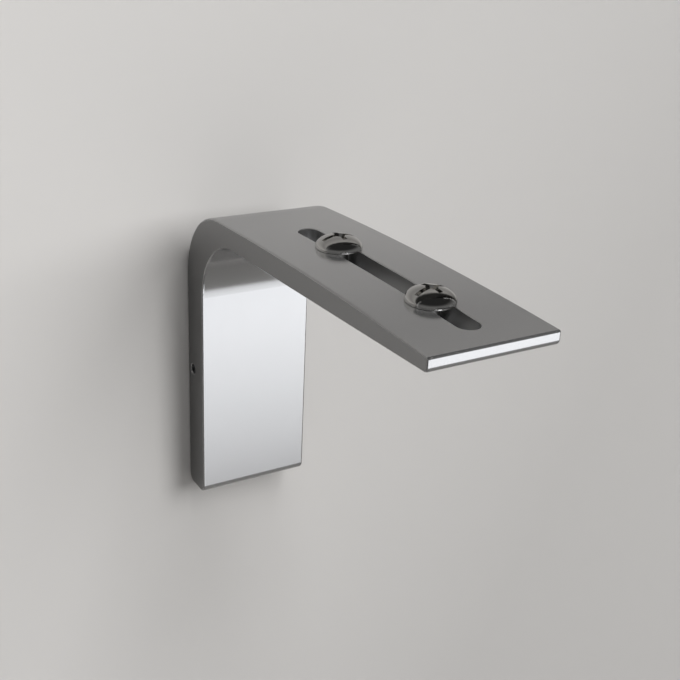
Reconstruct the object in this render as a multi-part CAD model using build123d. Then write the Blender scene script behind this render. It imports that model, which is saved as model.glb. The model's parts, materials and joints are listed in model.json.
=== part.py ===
from build123d import *
from math import asin, degrees, sqrt
import os

# A wall bracket for curtain rails, in millimetres. The arm points along -Y, away from the wall at Y = 0.
# The origin is the middle of the two wall holes, on the wall.

# Bracket body
projection = 120.0  # wall to the arm's tip
width = 35.0
height = 91.5  # crown of the arm's top to the leg's bottom end
crown_from_wall = 60.0  # the gently arched top of the arm is highest here
arm_arch = 1160.0  # radius of the arched top
under_at_wall = 7.2  # crown's level to the line of the underside at the wall, before the bend
under_at_tip = 5.2
leg_depth = 10.5  # wall to the leg's front face
outer_bend = 21.0  # radius of the bend's outer face
inner_bend = 20.0
bottom_corner = 2.5  # rounding of the leg's bottom end, seen from the side
tip_top_round = 0.65  # rounding of the tip's upper edge, seen from the side
tip_low_round = 1.4
edge_round = 0.6  # rounding of the outline's edges on both sides

# Slot along the arm
slot_width = 5.9
slot_tip_wall = 7.5  # arm's tip to the slot's end
slot_bend_gap = 7.2  # end of the inner bend to the slot's other end
slot_edge = 0.3  # rounding of the slot's rim

# Hollow in the back of the leg
front_wall = 3.0
side_wall = 5.0
top_wall = 3.5  # hollow's top to the level of one bend radius below the crown
bottom_wall = 4.1
hollow_corner = 1.0

# Wall plate, folded from sheet
plate_sheet = 1.5
plate_side_gap = 0.15
plate_bottom_gap = 0.3
plate_corner = 1.6
plate_end = 5.0  # flat stretch beyond each end of the side flanges
flange_front_gap = 0.5  # flange's edge to the leg's front wall
fold_inner = 0.4  # inner radius of the folds
notch = 1.2  # width of the relief notches at the ends of the folds
wall_hole = 5.0
wall_hole_spacing = 40.0

# Grub screw that locks the body on the plate
grub_thread = 3.0
grub_length = 4.0
grub_from_wall = 3.3
grub_above_origin = 4.0
grub_socket = 1.5  # across the flats
grub_socket_depth = 1.6
grub_hole_chamfer = 0.25

# Screws in the slot, with low round heads
rear_from_slot_end = 18.2  # slot's end at the wall to the rear screw's axis
front_from_slot_end = 16.6  # slot's end at the tip to the front screw's axis
drive_turn = {"rear": 0.0, "front": 10.0}  # degrees that each screw happens to be turned
screw_thread = 5.0
screw_length = 12.0
screw_point = 0.5  # chamfer at the screw's end
thread_gap = 0.05  # radial clearance that stands for a screw's thread
head_radius = 6.0
head_height = 3.45
head_edge = 0.45  # upright part of the head's edge
head_edge_round = 0.15
recess_span = 6.6  # tip to tip of the cross recess, at the crown's level
recess_foot_span = 2.8  # tip to tip at its bottom
recess_width = 1.2  # of the cross and of the slot that runs through it
drive_slot_depth = 1.15  # below the crown
recess_heart = 3.0  # diameter of the round middle, at the crown's level
recess_heart_foot = 1.6
recess_depth = 2.2

# Rail nuts under the arm
neck_gap = 1.0  # neck's top to the arm, also clear where the arm is thicker
neck_radius = 4.0
rail_lip = 2.0  # room for the lips of a rail between the arm and the foot
foot_length = 14.0
foot_width = 9.0
foot_thickness = 3.0
foot_edge = 0.5

# Heights and places that follow
plate_height = height - outer_bend - top_wall - bottom_wall - plate_bottom_gap
hollow_top = plate_height / 2
hollow_bottom = -plate_height / 2 - plate_bottom_gap
arm_top = hollow_top + top_wall + outer_bend
leg_bottom = arm_top - height
hollow_depth = leg_depth - front_wall
hollow_width = width - 2 * side_wall
plate_width = hollow_width - 2 * plate_side_gap
flange_depth = hollow_depth - flange_front_gap
flange_length = plate_height - 2 * plate_end
slot_wall_end = -(leg_depth + inner_bend + slot_bend_gap)
slot_tip_end = -(projection - slot_tip_wall)
slot_length = slot_wall_end - slot_tip_end
slot_middle = (slot_wall_end + slot_tip_end) / 2
screw_place = {
    "rear": slot_wall_end - rear_from_slot_end,
    "front": slot_tip_end + front_from_slot_end,
}
touch = 0.01  # measuring tolerance for picking edges

upright = (Align.CENTER, Align.CENTER, Align.MIN)
hanging = (Align.CENTER, Align.CENTER, Align.MAX)


def top_level(y):
    """Height of the arched top at a place along the arm."""
    return arm_top - arm_arch + sqrt(arm_arch**2 - (y + crown_from_wall) ** 2)


def under_level(y):
    """Height of the straight underside, which rises towards the tip as the arm gets thinner."""
    return arm_top - under_at_wall - y / projection * (under_at_wall - under_at_tip)


def on_arm(y):
    """A place on the arched top, with its axis square to the top there."""
    lean = degrees(asin((y + crown_from_wall) / arm_arch))
    return Pos(0, y, top_level(y)) * Rot(-lean, 0, 0)


def named_solid(part, name):
    """The finished solid of a piece, under its own name."""
    piece = part.solid()
    piece.label = name
    return piece


def bracket_body():
    """The L-shaped body: arm, bend and hollow leg in one piece."""
    wall_top = (0, top_level(0))
    tip_top = (-projection, top_level(-projection))
    tip_low = (-projection, under_level(-projection))
    inside = (-leg_depth, under_level(-leg_depth))
    leg_front = (-leg_depth, leg_bottom)
    leg_back = (0, leg_bottom)
    arch = ThreePointArc(wall_top, (-crown_from_wall, arm_top), tip_top)
    rest = Polyline(tip_top, tip_low, inside, leg_front, leg_back, wall_top)
    profile = Plane.YZ * make_face(arch + rest)
    corners = {
        wall_top: outer_bend,
        inside: inner_bend,
        tip_top: tip_top_round,
        tip_low: tip_low_round,
        leg_front: bottom_corner,
        leg_back: bottom_corner,
    }
    for (y, z), radius in corners.items():
        corner = profile.vertices().sort_by_distance(Vector(0, y, z))[0]
        profile = fillet(corner, radius)
    body = extrude(profile, width / 2, both=True)

    sides = body.faces().sort_by(Axis.X)
    body = fillet(sides[0].edges() + sides[-1].edges(), edge_round)

    slot = Pos(0, slot_middle, arm_top) * Rot(0, 0, 90) * SlotOverall(slot_length, slot_width)
    body -= extrude(slot, under_at_wall, both=True)
    rims = body.edges().filter_by_position(Axis.Y, slot_tip_end - touch, slot_wall_end + touch)
    rims = rims.filter_by_position(Axis.X, -slot_width / 2 - touch, slot_width / 2 + touch)
    body = fillet(rims - rims.filter_by(Axis.Z), slot_edge)

    hollow = Plane.XZ * Pos(0, (hollow_top + hollow_bottom) / 2) * RectangleRounded(
        hollow_width, hollow_top - hollow_bottom, hollow_corner
    )
    body -= extrude(hollow, hollow_depth)

    across = Plane(
        origin=(-width / 2, -grub_from_wall, grub_above_origin), x_dir=(0, 1, 0), z_dir=(1, 0, 0)
    )
    body -= across * extrude(Circle(grub_thread / 2), side_wall)
    mouth = Cone(
        grub_thread / 2 + grub_hole_chamfer,
        grub_thread / 2,
        grub_hole_chamfer,
        align=upright,
    )
    body -= across * mouth
    return named_solid(body, "bracket_body")


def wall_plate():
    """The folded sheet plate that the screws hold to the wall and the leg hangs on."""
    half = plate_width / 2
    outer = fold_inner + plate_sheet
    section = Rectangle(plate_width, flange_depth, align=(Align.CENTER, Align.MAX))
    section = fillet(section.vertices().group_by(Axis.Y)[-1], outer)
    inside = Pos(0, -plate_sheet) * Rectangle(
        plate_width - 2 * plate_sheet, flange_depth, align=(Align.CENTER, Align.MAX)
    )
    inside = fillet(inside.vertices().group_by(Axis.Y)[-1], fold_inner)
    channel = extrude(section - inside, flange_length / 2, both=True)

    sheet = Plane.XZ * RectangleRounded(plate_width, plate_height, plate_corner)
    sheet = extrude(sheet, plate_sheet)
    folded = Box(plate_width, 2 * plate_sheet, flange_length)
    plate = (sheet - folded) + channel
    for side in (-1, 1):
        for end in (-1, 1):
            relief = Pos(side * half, 0, end * (flange_length + notch) / 2) * Box(
                2 * outer, 2 * plate_sheet, notch
            )
            plate -= relief
    for end in (-1, 1):
        hole = Plane.XZ * Pos(0, end * wall_hole_spacing / 2) * Circle(wall_hole / 2)
        plate -= extrude(hole, plate_sheet)
    return named_solid(plate, "wall_plate")


def hexagon(across_flats):
    return RegularPolygon(across_flats / 2, 6, major_radius=False)


def grub_screw():
    """The headless screw in the leg's side, with its flat end on the plate's flange."""
    screw = extrude(Circle(grub_thread / 2 - thread_gap), grub_length)
    screw = chamfer(screw.edges().filter_by(GeomType.CIRCLE), grub_hole_chamfer)
    socket = Pos(0, 0, grub_length - grub_socket_depth) * extrude(hexagon(grub_socket), grub_socket_depth)
    screw -= socket
    seat = Plane(
        origin=(-plate_width / 2, -grub_from_wall, grub_above_origin), x_dir=(0, 1, 0), z_dir=(-1, 0, 0)
    )
    return named_solid(seat * screw, "grub_screw")


def drive():
    """The drive of a screw as a solid that hangs below Z = 0: a cross recess, and a slot right across the head."""
    heart = Cone(recess_heart_foot / 2, recess_heart / 2, recess_depth, align=hanging)
    outline = [
        (-recess_span / 2, 0),
        (recess_span / 2, 0),
        (recess_foot_span / 2, -recess_depth),
        (-recess_foot_span / 2, -recess_depth),
    ]
    wing = extrude(Plane.XZ * Polygon(*outline, align=None), recess_width / 2, both=True)
    slot = Box(2 * head_radius, recess_width, drive_slot_depth, align=hanging)
    return heart + wing + Rot(0, 0, 90) * wing + slot


def rail_screw(turn):
    """A screw whose low round head rests on the arm, across the slot."""
    rise = head_height - head_edge
    quarter = Ellipse(head_radius, rise) & Rectangle(head_radius, rise, align=(Align.MIN, Align.MIN))
    dome = revolve(Plane.XZ * quarter, Axis.Z)
    edge = Cylinder(head_radius, head_edge, align=upright)
    edge = fillet(edge.edges().group_by(Axis.Z)[0], head_edge_round)
    shank = Cylinder(screw_thread / 2 - thread_gap, screw_length, align=hanging)
    shank = chamfer(shank.edges().group_by(Axis.Z)[0], screw_point)
    screw = Pos(0, 0, head_edge) * dome + edge + shank
    return screw - Pos(0, 0, head_height) * Rot(0, 0, turn) * drive()


def rail_nut(arm_thickness):
    """The threaded foot under the arm, with a neck that stands in the slot of a rail's channel."""
    foot = extrude(Rot(0, 0, 90) * SlotOverall(foot_length, foot_width), foot_thickness)
    foot = fillet(foot.edges().group_by(Axis.Z)[0], foot_edge)
    neck = Pos(0, 0, foot_thickness) * Cylinder(neck_radius, rail_lip - neck_gap, align=upright)
    nut = foot + neck
    nut -= Cylinder(screw_thread / 2, foot_thickness + rail_lip, align=upright)
    return Pos(0, 0, -arm_thickness - rail_lip - foot_thickness) * nut


pieces = [bracket_body(), wall_plate(), grub_screw()]
for name, place in screw_place.items():
    screw = on_arm(place) * rail_screw(drive_turn[name])
    nut = on_arm(place) * rail_nut(top_level(place) - under_level(place))
    pieces.append(named_solid(screw, f"{name}_rail_screw"))
    pieces.append(named_solid(nut, f"{name}_rail_nut"))

os.makedirs("parts", exist_ok=True)
for piece in pieces:
    export_step(piece, f"parts/{piece.label}.step")
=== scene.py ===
import json
import math

import bpy
from mathutils import Matrix, Vector

# The looks of a wall bracket for curtain rails, in metres: a satin metal body, bright round-headed rail
# screws in its slot, and the plated pieces behind and under it.

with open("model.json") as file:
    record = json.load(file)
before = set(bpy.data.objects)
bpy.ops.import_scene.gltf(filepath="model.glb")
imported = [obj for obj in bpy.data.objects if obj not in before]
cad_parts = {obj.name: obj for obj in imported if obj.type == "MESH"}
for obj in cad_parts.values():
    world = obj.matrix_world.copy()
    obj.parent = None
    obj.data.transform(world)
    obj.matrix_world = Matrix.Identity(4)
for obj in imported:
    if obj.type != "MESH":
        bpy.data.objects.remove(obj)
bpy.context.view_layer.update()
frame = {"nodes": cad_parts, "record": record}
nodes = frame["nodes"]

MM = 0.001
ORIGIN = (0.0, 0.0, 0.0)

# Camera, fitted to the edges of the photo, whose image is a square
CAMERA_YAW = math.radians(31.80)
CAMERA_PITCH = math.radians(-22.74)
CAMERA_ROLL = math.radians(2.65)
CAMERA_PLACE = Vector((-0.13277, -0.27262, 0.13709))
FOCAL_IN_IMAGES = 1.5497  # focal length as a multiple of the image's side
SENSOR = 36.0  # mm
CLIP_START = 0.01
CLIP_END = 20.0

# Stage: a pale wall close behind the object that curves into a pale floor
WALL_GAP = 0.2 * MM
WALL_HALF_WIDTH = 3.0
WALL_TOP = 2.5
FLOOR_LEVEL = -1.2
FLOOR_FRONT = -4.5
SWEEP_RADIUS = 0.30
SWEEP_STEPS = 24
STAGE_COLOUR = (0.60, 0.588, 0.575)
STAGE_ROUGH = 0.9

# Cut: behind the leg, which hides it, the wall is clear, so that light reaches the hollow in the leg
CUT_HALF_WIDTH = 16.0 * MM
CUT_LOW = -35.0 * MM
CUT_FULL = 35.0 * MM  # up to here it is clear, and it fades out above
CUT_HIGH = 46.0 * MM

# Painted light and shade on the wall, a gradient in place of the lamps' fall-off: two places with their
# shares of the stage's colour. A place is measured to the right, less a part of its height, so the painted
# light falls to the right and half as fast downwards.
WALL_SLOPE = 0.45
WALL_PAINTED_LIGHT = (-0.17, 1.18)
WALL_PAINTED_SHADE = (0.18, 0.83)

# What metal reflects of the stage in its place: heights with their shares of the stage's colour
REFLECTED = (
    (-1.20, 0.35),
    (-0.08, 0.60),
    (0.065, 0.66),
    (0.12, 0.36),
    (0.21, 0.55),
    (0.25, 0.03),
)
REFLECTED_RIGHT = ((0.15, 1.0), (0.45, 0.12))  # places to the right, between which the reflection fades
REFLECTED_FADING = (-0.2, -0.05)  # heights between which that fading sets in

# World: a soft light on everything, and the room that metal reflects beyond the stage
WORLD_DIFFUSE = 0.125
ROOM_LOW = (0.13, 0.13, 0.13)
ROOM_HIGH = (0.02, 0.02, 0.02)
ROOM_FROM = 0.2  # sines of the elevations between which the room darkens
ROOM_BY = 0.6
BEHIND = (0.6, 0.6, 0.6)  # what metal sees through the cut in the wall
BEHIND_TOP = 0.8  # sine of the elevation up to which it sees that

# Lamps: the key lights the scene from the upper right and the top lamp from above. What the leg reflects is
# the front panel, a left and a brighter right half of level strips, which are dimmer near the floor.
KEY_PLACE = (1.5, -2.6, 1.6)
KEY_WIDTH = 1.8
KEY_HEIGHT = 2.6
KEY_POWER = 86.0
TOP_PLACE = (0.35, -1.9, 3.0)
TOP_SIDE = 1.2
TOP_POWER = 54.0
PANEL_LEFT = -1.2
PANEL_TURN = 1.05  # where the two halves meet
PANEL_RIGHT = 3.0
PANEL_FRONT = -1.6
PANEL_LOW = -1.12
PANEL_HIGH = -0.1
PANEL_STRIPS = 8
PANEL_FULL = 3  # strips below the lowest one that has the panel's full glow
PANEL_GLOW_LOW = 0.60
PANEL_GLOW_HIGH = 1.34
PANEL_RIGHT_GAIN = 1.16
PANEL_COLOUR = (0.98, 1.0, 1.04)

# Metals: the grain of the body runs along its strip, so it varies across the width and hardly along the arm
# or down the leg, and the other pieces are even
GRAIN = (1.0, 0.02, 0.02)
EVEN = (1.0, 1.0, 1.0)
NOISE_DETAIL = 3.0
NOISE_LOW = 0.3  # most of the noise lies between these two values
NOISE_HIGH = 0.7
MARK_DEPTH = 0.02 * MM
SATIN_METALLIC = 0.9  # the rest is a matt share, which keeps the satin from going black from any side
SATIN_TINT = (0.97, 0.985, 1.02)  # takes out some of the warmth that the pale wall gives
UNTINTED = (1.0, 1.0, 1.0)

# Duller parts of the surfaces, each rougher and with a share of the colour that is painted shade: the body's
# two sides
SIDE_FROM = 0.8  # sideways parts of the normal, between which a surface turns into a side
SIDE_BY = 0.97
# painted shade: the sides keep this share of the colour, for the dim reflections they show
SIDE_SHADE_SHARE = 0.64
SIDE_ROUGH = 0.3

# The walls of the slot, rougher and darkened with painted shade in the recess
SLOT_HALF_WIDTH = 2.98 * MM
SLOT_FRONT = -115.0 * MM
SLOT_REAR = -35.0 * MM
UPRIGHT = 0.5  # the upward part of an upright surface's normal is smaller
# painted shade: the slot's walls keep this share of the colour
SLOT_SHADE_SHARE = 0.65
SLOT_ROUGH = 0.35

# What of a rail screw stands in the arm and below it: rougher, and darkened with painted shade for its
# threads and the slot around it
SHANK_LOW = 30.0 * MM
SHANK_HIGH = 55.2 * MM
# painted shade: the shank keeps this share of the colour
SHANK_SHADE_SHARE = 0.3
SHANK_ROUGH = 0.4


def add(tree_nodes, kind, **settings):
    node = tree_nodes.new(kind)
    for key, value in settings.items():
        setattr(node, key, value)
    return node


def connect(links, value, socket):
    """Lead an output to a socket, or set the socket to a plain value."""
    if isinstance(value, bpy.types.NodeSocket):
        links.new(value, socket)
    else:
        socket.default_value = value


def calculate(tree_nodes, links, operation, *values):
    """What one Math node makes of its values, each a number or an output."""
    node = add(tree_nodes, "ShaderNodeMath", operation=operation)
    for socket, value in zip(node.inputs, values):
        connect(links, value, socket)
    return node.outputs["Value"]


def product(tree_nodes, links, factors):
    total = factors[0]
    for factor in factors[1:]:
        total = calculate(tree_nodes, links, "MULTIPLY", total, factor)
    return total


def within(tree_nodes, links, value, low, high):
    """1 where a value lies between low and high, 0 elsewhere."""
    return product(tree_nodes, links, [
        calculate(tree_nodes, links, "GREATER_THAN", value, low),
        calculate(tree_nodes, links, "LESS_THAN", value, high),
    ])


def slide_between(tree_nodes, links, value, first, last, interpolation="LINEAR"):
    """A value that runs from first's to last's second number between their first numbers."""
    slide = add(tree_nodes, "ShaderNodeMapRange", interpolation_type=interpolation)
    slide.inputs["From Min"].default_value = first[0]
    slide.inputs["From Max"].default_value = last[0]
    slide.inputs["To Min"].default_value = first[1]
    slide.inputs["To Max"].default_value = last[1]
    links.new(value, slide.inputs["Value"])
    return slide.outputs["Result"]


def blend(tree_nodes, links, kind, mask, plain, masked, how="MIX"):
    """A number (FLOAT) or colour (RGBA) that turns from plain into masked as the mask rises to 1."""
    mix = add(tree_nodes, "ShaderNodeMix", data_type=kind, blend_type=how)
    for socket, value in (("Factor", mask), ("A", plain), ("B", masked)):
        connect(links, value, mix.inputs[socket])
    return mix.outputs["Result"]


def split_of(tree_nodes, links, output):
    """The three parts of one output of the texture coordinates, such as the object's own place or normal."""
    place = add(tree_nodes, "ShaderNodeTexCoord")
    split = add(tree_nodes, "ShaderNodeSeparateXYZ")
    links.new(place.outputs[output], split.inputs["Vector"])
    return split.outputs


def stretched_noise(tree_nodes, links, stretch, scale):
    """Noise over the object's own coordinates, drawn out by a different factor along each axis."""
    place = add(tree_nodes, "ShaderNodeTexCoord")
    mapping = add(tree_nodes, "ShaderNodeMapping")
    mapping.inputs["Scale"].default_value = stretch
    noise = add(tree_nodes, "ShaderNodeTexNoise")
    noise.inputs["Scale"].default_value = scale
    noise.inputs["Detail"].default_value = NOISE_DETAIL
    links.new(place.outputs["Object"], mapping.inputs["Vector"])
    links.new(mapping.outputs["Vector"], noise.inputs["Vector"])
    return noise.outputs["Fac"]


def new_material(name):
    material = bpy.data.materials.new(name)
    material.use_nodes = True
    return material, material.node_tree.nodes, material.node_tree.links


def colour_of(slot):
    """The record's colour for a material slot."""
    for entry in frame["record"]["materials"]:
        if entry["slot"] == slot:
            return entry["base_color"]
    raise ValueError(slot)


def opaque(colour, share=1.0):
    """A share of a colour, with the alpha that a socket takes."""
    return (*(share * part for part in colour), 1.0)


def metal(name, slot, rough, stretch, scale, bump, dull_shaded_parts=(), tint=UNTINTED, metallic=1.0):
    """A metal whose roughness varies between two values and whose surface carries fine drawn-out marks.

    Its list of duller parts names the parts that are duller, carry no marks and are darkened with painted
    shade: how their mask is made, their share of the colour, which is the painted shade, and their
    roughness.
    """
    material, tree_nodes, links = new_material(name)
    shader = tree_nodes["Principled BSDF"]
    base_tone = [part * factor for part, factor in zip(colour_of(slot), tint)]
    colour = opaque(base_tone)
    shader.inputs["Base Color"].default_value = colour
    shader.inputs["Metallic"].default_value = metallic
    marks = stretched_noise(tree_nodes, links, stretch, scale)
    roughness = slide_between(tree_nodes, links, marks, (NOISE_LOW, rough[0]), (NOISE_HIGH, rough[1]))
    relief = add(tree_nodes, "ShaderNodeBump")
    relief.inputs["Strength"].default_value = bump
    relief.inputs["Distance"].default_value = MARK_DEPTH
    strength = bump
    for mask_of, share, dull_roughness in dull_shaded_parts:
        mask = mask_of(tree_nodes, links)
        # painted shade: a masked part gets only its share of the colour
        colour = blend(tree_nodes, links, "RGBA", mask, colour, opaque(base_tone, share))
        roughness = blend(tree_nodes, links, "FLOAT", mask, roughness, dull_roughness)
        strength = blend(tree_nodes, links, "FLOAT", mask, strength, 0.0)
        links.new(colour, shader.inputs["Base Color"])
        links.new(strength, relief.inputs["Strength"])
    links.new(roughness, shader.inputs["Roughness"])
    links.new(marks, relief.inputs["Height"])
    links.new(relief.outputs["Normal"], shader.inputs["Normal"])
    return material


def side_mask(tree_nodes, links):
    """The body's two narrow sides, by the normal."""
    normal = split_of(tree_nodes, links, "Normal")
    sideways = calculate(tree_nodes, links, "ABSOLUTE", normal["X"])
    return slide_between(tree_nodes, links, sideways, (SIDE_FROM, 0.0), (SIDE_BY, 1.0), "SMOOTHSTEP")


def slot_mask(tree_nodes, links):
    """The walls of the slot: upright surfaces near the arm's middle."""
    place = split_of(tree_nodes, links, "Object")
    normal = split_of(tree_nodes, links, "Normal")
    return product(tree_nodes, links, [
        within(tree_nodes, links, place["X"], -SLOT_HALF_WIDTH, SLOT_HALF_WIDTH),
        within(tree_nodes, links, place["Y"], SLOT_FRONT, SLOT_REAR),
        within(tree_nodes, links, normal["Z"], -UPRIGHT, UPRIGHT),
    ])


def shank_mask(tree_nodes, links):
    """What of a rail screw stands in the arm and below it."""
    place = split_of(tree_nodes, links, "Object")
    return within(tree_nodes, links, place["Z"], SHANK_LOW, SHANK_HIGH)


def dress(names, material):
    for name in names:
        for slot in nodes[name].material_slots:
            slot.material = material


satin = metal(
    "satin", "satin_metal", rough=(0.12, 0.18), stretch=GRAIN, scale=6000.0, bump=0.15,
    dull_shaded_parts=((side_mask, SIDE_SHADE_SHARE, SIDE_ROUGH), (slot_mask, SLOT_SHADE_SHARE, SLOT_ROUGH)),
    tint=SATIN_TINT, metallic=SATIN_METALLIC,
)
polished = metal(
    "polished", "bright_metal", rough=(0.10, 0.16), stretch=EVEN, scale=900.0, bump=0.05,
    dull_shaded_parts=((shank_mask, SHANK_SHADE_SHARE, SHANK_ROUGH),),
)
zinc = metal("zinc", "plated_sheet", rough=(0.25, 0.38), stretch=EVEN, scale=500.0, bump=0.2)
zinc_nut = metal("zinc_nut", "plated_nut", rough=(0.25, 0.38), stretch=EVEN, scale=700.0, bump=0.2)
black_oxide = metal("black_oxide", "dark_screw", rough=(0.35, 0.5), stretch=EVEN, scale=900.0, bump=0.2)
dress(["bracket_body"], satin)
dress(["rear_rail_screw", "front_rail_screw"], polished)
dress(["wall_plate"], zinc)
dress(["rear_rail_nut", "front_rail_nut"], zinc_nut)
dress(["grub_screw"], black_oxide)


def stage_profile():
    """The stage's outline in the Y-Z plane: down the wall, round the sweep and out along the floor."""
    points = [(WALL_GAP, WALL_TOP)]
    for step in range(SWEEP_STEPS + 1):
        angle = step / SWEEP_STEPS * math.pi / 2
        y = WALL_GAP - SWEEP_RADIUS + SWEEP_RADIUS * math.cos(angle)
        z = FLOOR_LEVEL + SWEEP_RADIUS - SWEEP_RADIUS * math.sin(angle)
        points.append((y, z))
    points.append((FLOOR_FRONT, FLOOR_LEVEL))
    return points


def tone_by_height(tree_nodes, links, height):
    """The stage's colour as metal reflects it at each height."""
    lowest = REFLECTED[0][0]
    highest = REFLECTED[-1][0]
    tone = add(tree_nodes, "ShaderNodeValToRGB")
    elements = tone.color_ramp.elements
    for z, _ in REFLECTED[1:-1]:
        elements.new((z - lowest) / (highest - lowest))
    for element, (_, share) in zip(elements, REFLECTED):
        element.color = opaque(STAGE_COLOUR, share)
    links.new(slide_between(tree_nodes, links, height, (lowest, 0.0), (highest, 1.0)), tone.inputs["Fac"])
    return tone.outputs["Color"]


def stage_tone(tree_nodes, links):
    """The wall's colour with painted light that falls to the right and downwards, and in reflections another
    one.
    """
    place = split_of(tree_nodes, links, "Object")
    low, high = REFLECTED_FADING
    fading = slide_between(tree_nodes, links, place["Z"], (low, 0.0), (high, 1.0))
    fade = slide_between(tree_nodes, links, place["X"], *REFLECTED_RIGHT)
    full = tone_by_height(tree_nodes, links, place["Z"])
    reflected = blend(tree_nodes, links, "RGBA", fading, full, fade, how="MULTIPLY")
    # painted light: the wall's colour is lighter at the upper left and darker to the right and downwards
    along = calculate(tree_nodes, links, "MULTIPLY_ADD", place["Z"], -WALL_SLOPE, place["X"])
    share = slide_between(tree_nodes, links, along, WALL_PAINTED_LIGHT, WALL_PAINTED_SHADE)
    base_tone = blend(tree_nodes, links, "RGBA", 1.0, opaque(STAGE_COLOUR), share, how="MULTIPLY")
    ray = add(tree_nodes, "ShaderNodeLightPath")
    return blend(tree_nodes, links, "RGBA", ray.outputs["Is Glossy Ray"], base_tone, reflected)


def stage_material():
    """A pale matt sheet that is clear in its cut and from behind, so that it never hides the object."""
    material, tree_nodes, links = new_material("stage")
    shader = tree_nodes["Principled BSDF"]
    shader.inputs["Roughness"].default_value = STAGE_ROUGH
    shader.inputs["Specular IOR Level"].default_value = 0.0
    links.new(stage_tone(tree_nodes, links), shader.inputs["Base Color"])
    clear = add(tree_nodes, "ShaderNodeBsdfTransparent")
    side = add(tree_nodes, "ShaderNodeNewGeometry")
    place = split_of(tree_nodes, links, "Object")
    cut = product(tree_nodes, links, [
        within(tree_nodes, links, place["X"], -CUT_HALF_WIDTH, CUT_HALF_WIDTH),
        within(tree_nodes, links, place["Z"], CUT_LOW, CUT_HIGH),
        slide_between(tree_nodes, links, place["Z"], (CUT_FULL, 1.0), (CUT_HIGH, 0.0)),
    ])
    mix = add(tree_nodes, "ShaderNodeMixShader")
    links.new(calculate(tree_nodes, links, "MAXIMUM", side.outputs["Backfacing"], cut), mix.inputs["Fac"])
    links.new(shader.outputs["BSDF"], mix.inputs[1])
    links.new(clear.outputs["BSDF"], mix.inputs[2])
    links.new(mix.outputs["Shader"], tree_nodes["Material Output"].inputs["Surface"])
    return material


def build_stage():
    profile = stage_profile()
    vertices = [(side * WALL_HALF_WIDTH, y, z) for y, z in profile for side in (-1, 1)]
    faces = [(2 * i + 2, 2 * i + 3, 2 * i + 1, 2 * i) for i in range(len(profile) - 1)]
    mesh = bpy.data.meshes.new("stage")
    mesh.from_pydata(vertices, [], faces)
    mesh.materials.append(stage_material())
    mesh.polygons.foreach_set("use_smooth", [True] * len(faces))
    stage = bpy.data.objects.new("stage", mesh)
    bpy.context.scene.collection.objects.link(stage)


build_stage()


def softbox(name, place, target, width, height, power):
    """A rectangular lamp that faces a target and that the camera doesn't see."""
    lamp = bpy.data.lights.new(name, "AREA")
    lamp.shape = "RECTANGLE"
    lamp.size = width
    lamp.size_y = height
    lamp.energy = power
    thing = bpy.data.objects.new(name, lamp)
    thing.visible_camera = False
    thing.location = place
    thing.rotation_euler = (Vector(target) - Vector(place)).to_track_quat("-Z", "Y").to_euler()
    bpy.context.scene.collection.objects.link(thing)
    return thing


def build_lamps():
    """The key and the top lamp, which no metal reflects, and the panel, which lights nothing else."""
    key = softbox("key", KEY_PLACE, ORIGIN, KEY_WIDTH, KEY_HEIGHT, KEY_POWER)
    key.visible_glossy = False
    top = softbox("top", TOP_PLACE, ORIGIN, TOP_SIDE, TOP_SIDE, TOP_POWER)
    top.visible_glossy = False
    height = (PANEL_HIGH - PANEL_LOW) / PANEL_STRIPS
    halves = {"left": (PANEL_LEFT, PANEL_TURN, 1.0), "right": (PANEL_TURN, PANEL_RIGHT, PANEL_RIGHT_GAIN)}
    for side, (start, end, gain) in halves.items():
        width = end - start
        middle = (start + end) / 2
        for strip in range(PANEL_STRIPS):
            share = min(strip / PANEL_FULL, 1.0)
            glow = gain * (PANEL_GLOW_LOW + (PANEL_GLOW_HIGH - PANEL_GLOW_LOW) * share)
            z = PANEL_LOW + height * (strip + 0.5)
            power = glow * math.pi * width * height
            name = f"panel_{side}_{strip}"
            panel = softbox(name, (middle, PANEL_FRONT, z), (middle, 0.0, z), width, height, power)
            panel.visible_diffuse = False
            panel.data.color = PANEL_COLOUR


build_lamps()


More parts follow.
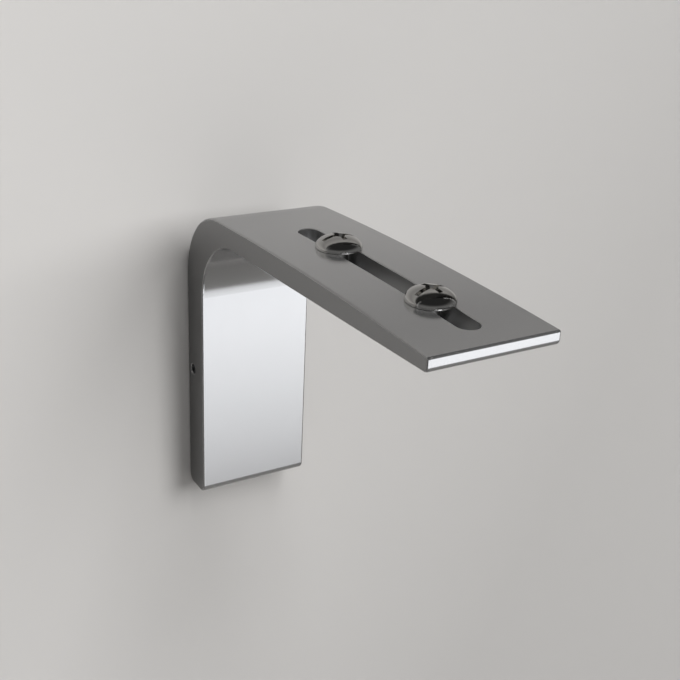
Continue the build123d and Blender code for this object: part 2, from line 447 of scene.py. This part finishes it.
def build_world():
    """A room that looks pale, lights softly and is dark in reflections, except behind the wall."""
    world = bpy.data.worlds.new("world")
    world.use_nodes = True
    tree_nodes = world.node_tree.nodes
    links = world.node_tree.links
    ray = add(tree_nodes, "ShaderNodeLightPath")
    direction = split_of(tree_nodes, links, "Generated")
    light = opaque((WORLD_DIFFUSE, WORLD_DIFFUSE, WORLD_DIFFUSE))
    seen = blend(tree_nodes, links, "RGBA", ray.outputs["Is Camera Ray"], light, opaque(STAGE_COLOUR))
    rise = slide_between(tree_nodes, links, direction["Z"], (ROOM_FROM, 0.0), (ROOM_BY, 1.0))
    room = blend(tree_nodes, links, "RGBA", rise, opaque(ROOM_LOW), opaque(ROOM_HIGH))
    beyond_wall = product(tree_nodes, links, [
        calculate(tree_nodes, links, "GREATER_THAN", direction["Y"], 0.0),
        calculate(tree_nodes, links, "LESS_THAN", direction["Z"], BEHIND_TOP),
    ])
    around = blend(tree_nodes, links, "RGBA", beyond_wall, room, opaque(BEHIND))
    colour = blend(tree_nodes, links, "RGBA", ray.outputs["Is Glossy Ray"], seen, around)
    links.new(colour, tree_nodes["Background"].inputs["Color"])
    bpy.context.scene.world = world


build_world()


def build_camera():
    forward = Vector((
        math.sin(CAMERA_YAW) * math.cos(CAMERA_PITCH),
        math.cos(CAMERA_YAW) * math.cos(CAMERA_PITCH),
        math.sin(CAMERA_PITCH),
    ))
    level = forward.cross(Vector((0, 0, 1))).normalized()
    upright = level.cross(forward)
    right = level * math.cos(CAMERA_ROLL) + upright * math.sin(CAMERA_ROLL)
    up = upright * math.cos(CAMERA_ROLL) - level * math.sin(CAMERA_ROLL)
    matrix = Matrix((right, up, -forward)).transposed().to_4x4()
    matrix.translation = CAMERA_PLACE
    data = bpy.data.cameras.new("camera")
    data.sensor_width = SENSOR
    data.lens = SENSOR * FOCAL_IN_IMAGES
    data.clip_start = CLIP_START
    data.clip_end = CLIP_END
    camera = bpy.data.objects.new("camera", data)
    camera.matrix_world = matrix
    bpy.context.scene.collection.objects.link(camera)
    bpy.context.scene.camera = camera


build_camera()
bpy.context.scene.view_settings.view_transform = "Standard"
